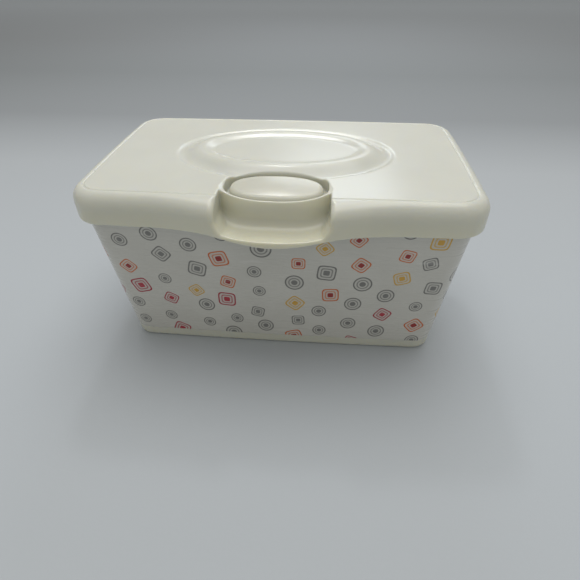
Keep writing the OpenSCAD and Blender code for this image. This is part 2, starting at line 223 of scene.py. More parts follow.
def spaced(*stops):
    """Grid lines from (place, step) pairs: each step holds up to the next place."""
    lines = [np.array([stops[0][0]])]
    for (start, step), (end, _) in zip(stops, stops[1:]):
        count = max(1, round((end - start) / step))
        lines.append(np.linspace(start, end, count + 1)[1:])
    return np.concatenate(lines)


def both_ways(*stops):
    """Grid lines that are alike on both sides of zero."""
    half = spaced(*stops)
    return np.concatenate([-half[:0:-1], half])


def surface_net(values, axes):
    """Vertices and quads of the zero level of values on a grid, faces outwards."""
    cells = [n - 1 for n in values.shape]
    stride = np.array([cells[1] * cells[2], cells[2], 1])
    size = cells[0] * cells[1] * cells[2]
    total, count, quads = np.zeros((size, 3)), np.zeros(size), []
    for a in range(3):
        b, c = (a + 1) % 3, (a + 2) % 3
        low = np.take(values, np.arange(cells[a]), axis=a)
        high = np.take(values, np.arange(1, cells[a] + 1), axis=a)
        at = np.argwhere((low < 0) != (high < 0))
        start, end = low[tuple(at.T)], high[tuple(at.T)]
        point = np.stack([axes[k][at[:, k]] for k in range(3)], 1)
        point[:, a] += start / (start - end) * (axes[a][at[:, a] + 1] - axes[a][at[:, a]])
        whole, around = np.ones(len(at), bool), []
        for step_b, step_c in ((0, 0), (-1, 0), (-1, -1), (0, -1)):
            near = at.copy()
            near[:, b] += step_b
            near[:, c] += step_c
            good = (near[:, [b, c]] >= 0).all(1) & (near[:, b] < cells[b]) & (near[:, c] < cells[c])
            cell = near @ stride
            for k in range(3):
                total[:, k] += np.bincount(cell[good], point[good, k], size)
            count += np.bincount(cell[good], minlength=size)
            around.append(cell)
            whole &= good
        quad = np.stack(around, 1)
        quad[start > 0] = quad[start > 0, ::-1]
        quads.append(quad[whole])
    used = count > 0
    index = np.cumsum(used) - 1
    return total[used] / count[used, None], index[np.concatenate(quads)]


def unit(vectors):
    """The vectors at length 1."""
    return vectors / np.maximum(np.linalg.norm(vectors, axis=1, keepdims=True), 1e-9)


def slopes(field, points, step=0.02):
    """Gradient of the field at each point."""
    gradient = np.empty_like(points)
    for k in range(3):
        ahead, behind = points.copy(), points.copy()
        ahead[:, k] += step
        behind[:, k] -= step
        gradient[:, k] = (field(*ahead.T) - field(*behind.T)) / (2 * step)
    return gradient


def settle(field, points, rounds=4, reach=0.4):
    """Moves points on to the field's zero level."""
    for _ in range(rounds):
        gradient = slopes(field, points)
        square = np.maximum((gradient**2).sum(1), 1e-6)
        move = (field(*points.T) / square)[:, None] * gradient
        length = np.linalg.norm(move, axis=1, keepdims=True)
        points = points - move * np.minimum(1, reach / np.maximum(length, 1e-9))
    return points


def refine(points, triangles, normals, bend, shortest):
    """Splits each edge that turns by more than bend, in degrees, and is over shortest."""
    edges = np.sort(triangles[:, [[0, 1], [1, 2], [2, 0]]].reshape(-1, 2), axis=1)
    unique, back = np.unique(edges[:, 0] * len(points) + edges[:, 1], return_inverse=True)
    first, second = unique // len(points), unique % len(points)
    turn = (normals[first] * normals[second]).sum(1)
    length = np.linalg.norm(points[first] - points[second], axis=1)
    split = (turn < math.cos(math.radians(bend))) & (length > shortest)
    middle = np.full(len(unique), -1)
    middle[split] = len(points) + np.arange(split.sum())
    points = np.concatenate([points, (points[first[split]] + points[second[split]]) / 2])
    mids = middle[back].reshape(-1, 3)
    marks = (mids >= 0).sum(1)
    done = [triangles[marks == 0]]
    corners, mid = triangles[marks == 3], mids[marks == 3]
    done += [np.stack([corners[:, i], mid[:, i], mid[:, i - 1]], 1) for i in range(3)] + [mid]
    for i in range(3):
        j, k = (i + 1) % 3, (i + 2) % 3
        one = (marks == 1) & (mids[:, i] >= 0)
        t, m = triangles[one], mids[one, i]
        done += [np.stack([t[:, i], m, t[:, k]], 1), np.stack([m, t[:, j], t[:, k]], 1)]
        two = (marks == 2) & (mids[:, i] < 0)
        t, m, n = triangles[two], mids[two, j], mids[two, k]
        done += [np.stack([t[:, k], n, m], 1), np.stack([t[:, i], t[:, j], m], 1)]
        done.append(np.stack([t[:, i], m, n], 1))
    return points, np.concatenate(done)


def add_piece(name, mesh):
    piece = bpy.data.objects.new(name, mesh)
    bpy.context.scene.collection.objects.link(piece)
    return piece


def moulding(name, field, axes, rounds=2, bend=16, shortest=0.45):
    """A closed mesh of a field, with vertices that lie on it and normals that follow it."""
    grid = np.meshgrid(*axes, indexing="ij", sparse=True)
    points, quads = surface_net(np.broadcast_to(field(*grid), [len(a) for a in axes]), axes)
    points = settle(field, points)
    spans = [np.linalg.norm(points[quads[:, i]] - points[quads[:, i + 2]], axis=1) for i in (0, 1)]
    longer = spans[0] > spans[1]
    quads[longer] = np.roll(quads[longer], 1, axis=1)
    triangles = np.concatenate([quads[:, [0, 1, 2]], quads[:, [0, 2, 3]]])
    for _ in range(rounds):
        old = len(points)
        points, triangles = refine(points, triangles, unit(slopes(field, points)), bend, shortest)
        points[old:] = settle(field, points[old:])
    mesh = bpy.data.meshes.new(name)
    mesh.from_pydata((points * MM).tolist(), [], triangles.tolist())
    mesh.shade_smooth()
    mesh.normals_split_custom_set_from_vertices(unit(slopes(field, points)).tolist())
    print(f"{name}: {len(triangles)} triangles")
    return add_piece(name, mesh)


# ---------------------------------------------------------------- lid


def medallion_height(x, y):
    """Height over the flat top: an oval channel, and a raised rim inside it with a lower middle."""
    y = y - MEDALLION_Y
    inset = np.zeros(np.broadcast(x, y).shape)
    for _ in range(6):
        half_x, half_y = CHANNEL[0] - inset, CHANNEL[1] - 0.9 * inset
        k = np.maximum(np.hypot(x / half_x, y / half_y), 1e-3)
        slope = (x**2 / half_x**3 + 0.9 * y**2 / half_y**3) / k
        inset = np.clip(inset + (1 - k) / np.maximum(slope, 1e-4), -4, 30)
    channel = CHANNEL_DEPTH * smooth(inset / 3.2)
    rise = (RIM_H + CHANNEL_DEPTH) * smooth((inset - 3.8) / 12.2)
    middle = MIDDLE_DROP * smooth((inset - 16.8) / 8)
    return rise - channel - middle


def shoulder(x, y, z):
    """The lid's top, rounded shoulder and skirt as one solid, and the distance out from the skirt."""
    swell = np.where(y < 0, BULGE * hump(x, BULGE_HALF), 0)
    reach = SHOULDER_OUT + swell
    out = outline(x, y, *CREASE_HALF)
    crease = 0.42 * np.maximum(1 - ((out + 0.15) / 0.85) ** 2, 0) ** 2
    up = z - medallion_height(x, y) + crease - (TOP - SHOULDER_DROP)
    u, v = np.maximum(out, 0) / reach, np.maximum(up, 0) / SHOULDER_DROP
    power = 2 + 0.35 * swell / BULGE
    k = np.maximum(u**power + v**power, 1e-9) ** (1 / power)
    slope = np.hypot((u / k) ** (power - 1) / reach, (v / k) ** (power - 1) / SHOULDER_DROP)
    deep = np.maximum(out - reach, up - SHOULDER_DROP)
    return np.where(k > 0.2, (k - 1) / np.maximum(slope, 1e-6), deep), out - reach


def bowl(x, y, z):
    """The shallow dish round the button, and the well in it that the button sits in."""
    rho2 = np.minimum((x / DISH[0]) ** 2 + ((y - DISH_Y) / DISH[1]) ** 2, 1.2)
    slope = 4 * DISH_DEPTH * rho2 * np.hypot(x / DISH[0] ** 2, (y - DISH_Y) / DISH[1] ** 2)
    above = (z - TOP + DISH_DEPTH * (1 - rho2**2)) / np.hypot(1, slope)
    dish = common(oval(x, y - DISH_Y, DISH), -above, 0.3)
    well = common(oval(x, y - WELL_Y, WELL, WELL_POWER), WELL_FLOOR - z, 1.0)
    return joined(dish, well, 0.8)


def scoop(x, y, z, from_skirt):
    """The thumb scoop: a back panel that curves into a floor with a raised lip."""
    side = np.minimum(np.abs(x), 26)
    lip = LIP_H * smooth((from_skirt + LIP_W + 0.7) / 0.8)
    rise = 0.4 * np.clip((PANEL_Y - FOOT_L - y) / 7, 0, 1) ** 2
    floor = z - FLOOR - 1.4 * (side / 24) ** 4 - lip - rise
    panel = y - PANEL_Y - 6 * (x / SCOOP_HALF) ** 4
    u, v = np.maximum(panel + FOOT_L, 0) / FOOT_L, np.maximum(FOOT_H - floor, 0) / FOOT_H
    k = np.maximum(np.hypot(u, v), 1e-9)
    slope = np.hypot(u / k / FOOT_L, v / k / FOOT_H)
    room = np.where(k > 0.2, (k - 1) / np.maximum(slope, 1e-6), np.maximum(panel, -floor))
    width = LIP_HALF + (SCOOP_HALF - LIP_HALF) * smooth((z - FLOOR) / 9)
    return common(room, np.abs(x) - width, 1.4)


def lid_outside(x, y, z):
    """The lid's outer faces as one full solid, with the bowl and the scoop cut in."""
    solid, from_skirt = shoulder(x, y, z)
    solid = less(solid, bowl(x, y, z), 0.9)
    edge = 0.9 + 2.1 * smooth((np.abs(x) - 22) / 4) * smooth((-60 - y) / 4)
    return less(solid, scoop(x, y, z, from_skirt), edge)


def lid(x, y, z):
    """The lid's shell, with the axle's ears under it and the hinges' ears at its back."""
    outside = lid_outside(x, y, z)
    edge = SKIRT - np.where(y < 0, DIP * hump(x, DIP_HALF), 0)
    solid = less(outside, outside + WALL, 0.5)
    solid = common(solid, edge - z, 0.6)
    for side in (-1, 1):
        middle = EAR_X * side
        low, high = (middle - EAR_W / 2, -57.0, AXLE_Z), (middle + EAR_W / 2, AXLE_Y + EAR_R, 104)
        ear = joined(block(x, y, z, low, high), rod(x, y, z, (middle, AXLE_Y, AXLE_Z), EAR_R, EAR_W), 0.3)
        solid = joined(solid, common(ear, outside + 0.2, 0.3), 0.8)
    hole = oval(x, y - NECK_Y, (NECK[0] + NECK_GAP, NECK[1] + NECK_GAP))
    solid = less(solid, common(hole, 95 - z, 0.3), 0.4)
    for side in (-1, 1):
        middle = KNUCKLE_X * side
        notch = block(x, y, z, (middle - 7.3, 60, 80), (middle + 7.3, 75, HINGE_Z + 3.4))
        solid = less(solid, notch, 0.5)
        for end in (-1, 1):
            ear = rod(x, y, z, (middle + end * HINGE_EAR_X, HINGE_Y, HINGE_Z), HINGE_R, HINGE_EAR_W)
            solid = joined(solid, ear, 0.8)
    return solid


def lid_axes():
    """Grid lines that keep clear of the lid's flat faces."""
    return (
        both_ways((0, 0.77), (32.34, 1.6), (96, 1.0), (111, 1)),
        spaced((-76.2, 0.8), (-30, 1.6), (50, 1.0), (70, 1)),
        spaced(
            (86.8, 0.95), (100.1, 0.5), (101.1, 0.6), (102.3, 0.9), (103.2, 0.6), (106.2, 0.55),
            (106.75, 0.4), (107.15, 0.45), (107.6, 0.35), (107.95, 0.45), (108.4, 0.4), (110, 0.6),
            (110.6, 0.4), (111.4, 0.35), (111.75, 0.4), (112.55, 1)))


def seal(x, y, z):
    """Soft lip that hangs from the lid's underside and thins towards the deck."""
    side = oval(x, y - ORIFICE_Y, (SEAL[0] - 1.2, SEAL[1] - 1.2))
    half = 1.2 - 0.45 * smooth((104 - z) / 2.4)
    ring = common(np.abs(side) - half, SEAL_LOW - z, 0.8)
    return common(ring, lid_outside(x, y, z) + WALL - 0.2, 0.2)


def seal_axes():
    return (
        both_ways((0, 1.2), (45, 0.7), (57.4, 1)),
        spaced((-24.6, 0.7), (28.6, 1)),
        spaced((100.7, 0.6), (111, 1)))


# ---------------------------------------------------------------- button


def button(x, y, z):
    """A leaning oval head on a hollow neck, with a stop, an arm to the axle and a hook."""
    side = oval(x, y - HEAD_Y, HEAD, HEAD_POWER)
    plane = HEAD_Z + HEAD_TILT * (y - HEAD_Y)
    rho = (x / HEAD[0]) ** 2 + ((y - HEAD_Y) / HEAD[1]) ** 2
    crown = z - plane - HEAD_CROWN * (1 - np.minimum(rho, 1.2))
    head = common(common(side, crown, 3.2), plane - HEAD_SKIRT - z, 0.5)
    head = less(head, common(side + 1.5, crown + 1.5, 2), 0.4)
    neck = oval(x, y - NECK_Y, NECK)
    stop = oval(x, y - NECK_Y, (NECK[0] + STOP_OUT[0], NECK[1] + STOP_OUT[1]))
    stop = plate(stop, z, *STOP_Z, 0.4)
    stop = common(stop, -49.4 - y, 0.3)
    tube = joined(common(neck, np.maximum(STOP_Z[0] - z, crown + 0.7), 0.3), stop, 0.5)
    solid = joined(head, less(tube, neck + 1.5, 0.3), 0.5)
    arm = block(x, y, z, (-ARM_HALF, AXLE_Y, ARM_Z[0]), (ARM_HALF, NECK_Y + NECK[1] - 0.7, ARM_Z[1]))
    arm = joined(arm, rod(x, y, z, (0, AXLE_Y, AXLE_Z), 2.6, 2 * ARM_HALF), 0.6)
    hook_low = (-ARM_HALF, HOOK_FRONT, HOOK_LOW)
    hook = block(x, y, z, hook_low, (ARM_HALF, AXLE_Y + 0.2, AXLE_Z))
    nose = block(x, y, z, hook_low, (ARM_HALF, NOSE_BACK, NOSE_TOP), 0.5)
    return joined(solid, joined(arm, joined(hook, nose, 0.5), 0.6), 0.5)


def button_axes():
    return both_ways((0, 0.55), (25.9, 1)), spaced((-57, 0.55), (-31, 1)), spaced((87.8, 0.55), (110.3, 1))


# ---------------------------------------------------------------- collar


def collar(x, y, z):
    """Deck, rim ribs, latch pocket with its catch bar, and knuckles, moulded in one."""
    edge = outline(x, y, *COLLAR_HALF)
    solid = plate(edge, z, DECK - WALL, DECK, 0.7)
    for inset, thick, low in ((0, 1.5, RIM_STEP + 0.3), (3.9, 1.4, RIM_TOP - 4)):
        rib = common(edge + inset, -edge - inset - thick, 0.4)
        solid = joined(solid, plate(rib, z, low, DECK - WALL / 2, 0.4), 0.5)
    low_y, high_y = POCKET_Y
    tray = block(x, y, z, (-POCKET_HALF, low_y, POCKET_Z - WALL), (POCKET_HALF, high_y, DECK), 0.8)
    apron = block(x, y, z, (-POCKET_HALF, low_y - 2.6, NOTCH[1] + 0.4), (POCKET_HALF, high_y, DECK), 0.4)
    solid = joined(solid, joined(tray, apron, 0.3), 0.4)
    a = POCKET_HALF - WALL
    room = block(x, y, z, (-a, low_y + WALL, POCKET_Z), (a, high_y - WALL, 120), 0.8)
    mouth = block(x, y, z, (-a, -80, FLOOR - 0.4), (a, high_y - WALL, 120), 0.3)
    solid = less(solid, joined(room, mouth, 0.3), 0.5)
    solid = less(solid, oval(x, y - ORIFICE_Y, ORIFICE), 0.4)
    catch_low, catch_high = (-CATCH_HALF, CATCH_Y[0], CATCH_Z[0]), (CATCH_HALF, CATCH_Y[1], CATCH_Z[1])
    solid = joined(solid, block(x, y, z, catch_low, catch_high, 0.6), 0.5)
    for side in (-1, 1):
        post_low = (side * POST_X - POST_HALF, CATCH_Y[0], POCKET_Z - 1)
        post_high = (side * POST_X + POST_HALF, CATCH_Y[1], 92)
        solid = joined(solid, block(x, y, z, post_low, post_high, 0.3), 0.6)
        middle = KNUCKLE_X * side
        arm_low = (middle - KNUCKLE_W / 2, 60.5, HINGE_Z - HINGE_R)
        arm_high = (middle + KNUCKLE_W / 2, HINGE_Y, HINGE_Z + HINGE_R)
        knuckle = rod(x, y, z, (middle, HINGE_Y, HINGE_Z), HINGE_R, KNUCKLE_W)
        knuckle = joined(block(x, y, z, arm_low, arm_high, 0.4), knuckle, 0.1)
        solid = joined(solid, common(knuckle, 61 - y, 0.1), 0.5)
    return solid


def collar_axes():
    return (
        both_ways((0, 1.1), (28, 0.7), (45, 2.4), (97, 0.8), (107, 1)),
        spaced((-62.4, 0.75), (-26, 2), (52, 0.75), (70.2, 1)),
        spaced((84.2, 0.7), (102, 1)))


def membrane(x, y, z):
    """Soft sheet that grips the deck's edge, with a thickened rim round its slot."""
    y = y - ORIFICE_Y
    lip = (ORIFICE[0] + 2.2, ORIFICE[1] + 2.2)
    solid = plate(oval(x, y, ORIFICE), z, DECK - WALL - 0.5, DECK + 0.5, 0.2)
    for low in (DECK - WALL - 0.9, DECK):
        solid = joined(solid, plate(oval(x, y, lip), z, low, low + 0.9, 0.5), 0.2)
    well = oval(x, y, (ORIFICE[0] - 3, ORIFICE[1] - 3))
    slot = oval(x, y, SLOT)
    for end in (-1, 1):
        slot = joined(slot, np.hypot(x - end * (SLOT[0] - 3), y) - 4, 1.5)
    slope = 1.1 * smooth(-well / 9)
    middle = z - DECK + 0.9 + slope * 0.35
    sheet = np.abs(middle) - 0.6 - 0.25 * smooth((2.4 - slot) / 1.4)
    solid = joined(less(solid, well, 0.5), common(well - 0.6, sheet, 0.2), 0.7)
    return less(solid, slot, 0.6)


def membrane_axes():
    return both_ways((0, 0.8), (49.6, 1)), spaced((-19, 0.7), (23, 1)), spaced((97.8, 0.45), (102.6, 1))


# ---------------------------------------------------------------- tub


def tub_half(z):
    """Half sizes of the tub's outside at a height."""
    share = z / SKIRT
    return [base + (top - base) * share for base, top in zip(TUB_BASE, TUB_TOP)]


def tub(x, y, z):
    """The tub, with a seat for the film, a rim that steps in and a notch at its front."""
    film = smooth((z - FILM_Z[0] + 0.1) / 0.2) * smooth((FILM_Z[1] - z + 0.1) / 0.2)
    side = outline(x, y, *tub_half(z)) + FILM * film
    solid = common(common(side, -z, TUB_FOOT_R), z - RIM_STEP, 0.3)
    solid = joined(solid, plate(outline(x, y, *RIM_HALF), z, 90.5, RIM_TOP, 0.5), 0.2)
    up = np.clip((z - 4) / 85, 0, 1)
    inner = outline(x, y, *(foot + flare * up for foot, flare in zip(TUB_INSIDE, TUB_FLARE)))
    solid = less(solid, common(inner, TUB_FLOOR - z, 4.5), 0.5)
    return less(solid, block(x, y, z, (-NOTCH[0], -80, NOTCH[1]), (NOTCH[0], -40, 120), 0.6), 0.4)


def tub_axes():
    return (
        both_ways((0, 3), (30.6, 0.7), (36.2, 3), (93, 0.85), (106.5, 1)),
        spaced((-62.2, 0.8), (-48, 3), (48, 0.8), (62.2, 1)),
        spaced((-0.7, 0.7), (5, 0.9), (7.7, 0.3), (8.3, 0.9), (10.1, 4), (86, 0.7), (100.2, 1)))


# ---------------------------------------------------------------- printed film


MOTIF_COLUMNS = 32
MOTIF_H = 15.6


def tub_loop(half_x, half_y):
    """Points round the tub's outline, anticlockwise from the middle of the back."""
    x, y = half_x - BOW, half_y - BOW
    cx, cy = x - CORNER, y - CORNER
    notch = (np.array([-1, -1, 1, 1]) * NOTCH[0] + (-0.05, 0.05, -0.05, 0.05)) / 93.2
    front = np.unique(np.concatenate([np.linspace(-1, 1, 60, endpoint=False), notch]))
    turns = np.radians(np.linspace(0, 90, 10, endpoint=False))

    def corner(mid_x, mid_y, start):
        return [(mid_x + CORNER * math.cos(start + t), mid_y + CORNER * math.sin(start + t)) for t in turns]

    points = list(np.linspace((0, y), (-cx, y), 30, endpoint=False))
    points += corner(-cx, cy, math.pi / 2)
    points += list(np.linspace((-x, cy), (-x, -cy), 24, endpoint=False))
    points += corner(-cx, -cy, math.pi)
    points += [(cx * t, -y) for t in front]
    points += corner(cx, -cy, 1.5 * math.pi)
    points += list(np.linspace((x, -cy), (x, cy), 24, endpoint=False))
    points += corner(cx, cy, 0)
    points += list(np.linspace((cx, y), (0, y), 30, endpoint=False))
    flat = np.array(points)
    return flat * (1 + BOW / np.array([x, y]) * (1 - (flat[:, ::-1] / [half_y, half_x]) ** 2))


def make_film():
    """Thin skin of the print: a closed band round the tub, with UVs that count its motifs."""
    shares = np.linspace(0, 1, 12)
    section = [(0.0, s) for s in shares] + [(FILM + 0.05, s) for s in (1, 0.5, 0)]
    middle = tub_loop(*tub_half(sum(FILM_Z) / 2))
    front = (middle[:, 1] < 0) & (np.abs(middle[:, 0]) < NOTCH[0] * 0.993)
    high = np.where(front, NOTCH[1] - 0.1, FILM_Z[1])
    points, heights = [], []
    for inset, share in section:
        z = FILM_Z[0] + (high - FILM_Z[0]) * share
        rings = {v: tub_loop(*(half - inset for half in tub_half(v))) for v in np.unique(z)}
        flat = np.array([rings[v][i] for i, v in enumerate(z)])
        points.append(np.column_stack([flat, z]))
        heights.append(z)
    columns, rows = len(middle), len(section)
    around = np.linalg.norm(np.roll(middle, -1, 0) - middle, axis=1)
    along = np.concatenate([[0], np.cumsum(around)]) / around.sum() * MOTIF_COLUMNS
    faces, uvs = [], []
    for j in range(rows):
        k = (j + 1) % rows
        for i in range(columns):
            n = (i + 1) % columns
            faces.append((j * columns + i, j * columns + n, k * columns + n, k * columns + i))
            for u, row, column in ((i, j, i), (i + 1, j, n), (i + 1, k, n), (i, k, i)):
                uvs += [along[u], heights[row][column] / MOTIF_H]
    mesh = bpy.data.meshes.new("film_print")
    mesh.from_pydata((np.concatenate(points) * MM).tolist(), [], faces)
    mesh.uv_layers.new(name="motifs").data.foreach_set("uv", uvs)
    mesh.shade_smooth()
    mesh.set_sharp_from_angle(angle=math.radians(40))
    return add_piece("film_print", mesh)


# ---------------------------------------------------------------- spring


def spring_tree():
    """Geometry nodes: a coil of round wire with two straight legs."""
    tree = bpy.data.node_groups.new("wound_spring", "GeometryNodeTree")
    tree.interface.new_socket("Geometry", in_out="OUTPUT", socket_type="NodeSocketGeometry")
    kinds = (
        ("Wire radius", "Float"), ("Coil radius", "Float"), ("Turns", "Float"), ("Coil length", "Float"),
        ("Coil start", "Vector"), ("First leg top", "Vector"), ("First leg end", "Vector"),
        ("Last leg top", "Vector"), ("Last leg end", "Vector"), ("Finish", "Material"))
    for name, kind in kinds:
        tree.interface.new_socket(name, in_out="INPUT", socket_type="NodeSocket" + kind)
    given = tree.nodes.new("NodeGroupInput").outputs

    def node(kind, inputs):
        made = tree.nodes.new("GeometryNode" + kind)
        for name, value in inputs.items():
            if isinstance(value, bpy.types.NodeSocket):
                tree.links.new(value, made.inputs[name])
            else:
                made.inputs[name].default_value = value
        return made.outputs[0]

    coil = node("CurveSpiral", {
        "Resolution": 24, "Rotations": given["Turns"], "Start Radius": given["Coil radius"],
        "End Radius": given["Coil radius"], "Height": given["Coil length"]})
    turn = Matrix(((0, 0, 1), (-1, 0, 0), (0, -1, 0))).to_euler()
    placed = node("Transform", {"Geometry": coil, "Translation": given["Coil start"], "Rotation": turn})
    first = node("CurvePrimitiveLine", {"Start": given["First leg top"], "End": given["First leg end"]})
    last = node("CurvePrimitiveLine", {"Start": given["Last leg top"], "End": given["Last leg end"]})
    join = tree.nodes.new("GeometryNodeJoinGeometry")
    for curve in (placed, first, last):
        tree.links.new(curve, join.inputs[0])
    profile = node("CurvePrimitiveCircle", {"Resolution": 12, "Radius": given["Wire radius"]})
    tube = node("CurveToMesh", {"Curve": join.outputs[0], "Profile Curve": profile, "Fill Caps": True})
    real = node("RealizeInstances", {"Geometry": node("SetShadeSmooth", {"Geometry": tube})})
    finish = node("SetMaterial", {"Geometry": real, "Material": given["Finish"]})
    out = tree.nodes.new("NodeGroupOutput")
    tree.links.new(finish, out.inputs[0])
    return tree


def make_spring(finish):
    """Torsion spring on the button's axle."""
    start_x, end_x, coil_r = 5.9, 8.85, 1.9
    front = AXLE_Y - coil_r
    values = {
        "Wire radius": 0.3 * MM, "Coil radius": coil_r * MM, "Turns": 5.0,
        "Coil length": (end_x - start_x) * MM, "Coil start": Vector((start_x, AXLE_Y, AXLE_Z)) * MM,
        "First leg top": Vector((start_x, front, AXLE_Z)) * MM,
        "First leg end": Vector((start_x, -55.25, 92.5)) * MM,
        "Last leg top": Vector((end_x, front, AXLE_Z)) * MM,
        "Last leg end": Vector((end_x, -56.05, 92.5)) * MM, "Finish": finish}
    tree = spring_tree()
    maker = add_piece("spring_maker", bpy.data.meshes.new("spring_maker"))
    modifier = maker.modifiers.new("wound_spring", "NODES")
    modifier.node_group = tree
    for item in tree.interface.items_tree:
        if item.in_out == "INPUT":
            modifier[item.identifier] = values[item.name]
    ready = maker.evaluated_get(bpy.context.evaluated_depsgraph_get())
    mesh = bpy.data.meshes.new_from_object(ready)
    bpy.data.objects.remove(maker)
    return add_piece("torsion_spring", mesh)


# ---------------------------------------------------------------- finishes


class Finish:
    """A material and short ways to add nodes to it."""

    def __init__(self, name, **uniform):
        self.material = bpy.data.materials.new(name)
        self.material.use_nodes = True
        self.tree = self.material.node_tree
        self.shader = self.tree.nodes["Principled BSDF"]
        for key, value in uniform.items():
            self.shader.inputs[key.replace("_", " ")].default_value = value

    def add(self, kind, inputs=None, **settings):
        node = self.tree.nodes.new("ShaderNode" + kind)
        for key, value in settings.items():
            setattr(node, key, value)
        for key, value in (inputs or {}).items():
            self.feed(node.inputs[key], value)
        return node

    def feed(self, socket, value):
        if isinstance(value, bpy.types.NodeSocket):
            self.tree.links.new(value, socket)
        else:
            socket.default_value = value

    def maths(self, operation, a, b=0.0, c=0.0):
        return self.add("Math", {0: a, 1: b, 2: c}, operation=operation).outputs[0]

    def place(self):
        """The part's own coordinates, in metres."""
        return self.add("TexCoord").outputs["Object"]

    def noise(self, scale, detail=2.0, stretch=(1, 1, 1)):
        mapped = self.add("Mapping", {"Vector": self.place(), "Scale": stretch}).outputs[0]
        return self.add("TexNoise", {"Vector": mapped, "Scale": scale, "Detail": detail}).outputs["Fac"]

    def spread(self, value, low, high, to_low=0.0, to_high=1.0):
        ends = {"Value": value, "From Min": low, "From Max": high, "To Min": to_low, "To Max": to_high}
        return self.add("MapRange", ends).outputs[0]

    def ramp(self, value, *stops, interpolation="LINEAR"):
        node = self.add("ValToRGB", {"Fac": value})
        node.color_ramp.interpolation = interpolation
        marks = node.color_ramp.elements
        marks[0].position, marks[1].position = stops[0][0], stops[-1][0]
        for place, _ in stops[1:-1]:
            marks.new(place)
        for mark, (_, colour) in zip(marks, stops):
            mark.color = (*colour, 1) if hasattr(colour, "__len__") else (colour, colour, colour, 1)
        return node.outputs["Color"]

    def mix(self, share, a, b, blend_type="MIX"):
        node = self.add("Mix", data_type="RGBA", blend_type=blend_type)
        self.feed(node.inputs["Factor"], share)
        for socket, value in ((node.inputs[6], a), (node.inputs[7], b)):
            self.feed(socket, value if isinstance(value, bpy.types.NodeSocket) else (*value, 1))
        return node.outputs[2]

    def bump(self, height, strength, distance):
        """Relief from a height between 0 and 1 that stands for distance in metres."""
        node = self.add("Bump", {"Height": height, "Strength": strength, "Distance": distance})
        self.feed(self.shader.inputs["Normal"], node.outputs[0])

    def set(self, **inputs):
        for key, value in inputs.items():
            self.feed(self.shader.inputs[key.replace("_", " ")], value)
        return self.material


def milky_plastic(name, pale, deep, gloss):
    """Moulded polypropylene, faintly rippled, with painted shade: pale at the top, creamier and a little
    darker lower down, standing for the shade on the translucent skirt.
    """
    finish = Finish(
        name, Subsurface_Weight=0.5, Subsurface_Radius=(1.0, 0.85, 0.55), Subsurface_Scale=0.005, IOR=1.49)
    height = finish.add("SeparateXYZ", {0: finish.place()}).outputs["Z"]
    # Painted shade: the colour turns creamier and darker below the lid's top, standing for the shade on the
    # translucent skirt.
    painted_shade_tone = finish.mix(finish.spread(height, 0.099, 0.1085), deep, pale)
    clouds = finish.ramp(finish.noise(28, 3), (0.35, 0.965), (0.7, 1.0))
    scuffs = finish.noise(60, 4)
    finish.bump(finish.maths("ADD", finish.noise(420, 2), finish.noise(60, 1)), 0.05, 0.0003)
    return finish.set(
        Base_Color=finish.mix(1.0, painted_shade_tone, clouds, "MULTIPLY"),
        Roughness=finish.spread(scuffs, 0.3, 0.8, gloss, gloss + 0.04))


def soft_elastomer():
    finish = Finish("soft_elastomer", Subsurface_Weight=0.1, Subsurface_Scale=0.002, Sheen_Weight=0.15)
    grain = finish.noise(900, 3)
    finish.bump(grain, 0.25, 0.0002)
    return finish.set(
        Base_Color=finish.ramp(finish.noise(60, 3), (0.3, (0.42, 0.43, 0.41)), (0.75, (0.5, 0.51, 0.49))),
        Roughness=finish.spread(grain, 0.0, 1.0, 0.5, 0.72))


def drawn_steel(name, shade):
    """Bright wire with fine lines along it."""
    finish = Finish(name, Metallic=1.0)
    lines = finish.noise(700, 4, (0.06, 1, 1))
    finish.bump(lines, 0.2, 0.0001)
    return finish.set(
        Base_Color=finish.ramp(lines, (0.3, shade * 0.8), (0.7, shade)),
        Roughness=finish.spread(lines, 0.0, 1.0, 0.2, 0.42))


# Where each family of colours starts among the motifs, with the colours of its core and its rings
MOTIFS = (
    (0.00, (0.20, 0.20, 0.19), (0.17, 0.17, 0.16)),
    (0.56, (0.62, 0.36, 0.05), (0.60, 0.36, 0.05)),
    (0.71, (0.42, 0.03, 0.05), (0.36, 0.02, 0.04)),
    (0.86, (0.30, 0.02, 0.015), (0.56, 0.14, 0.03)))


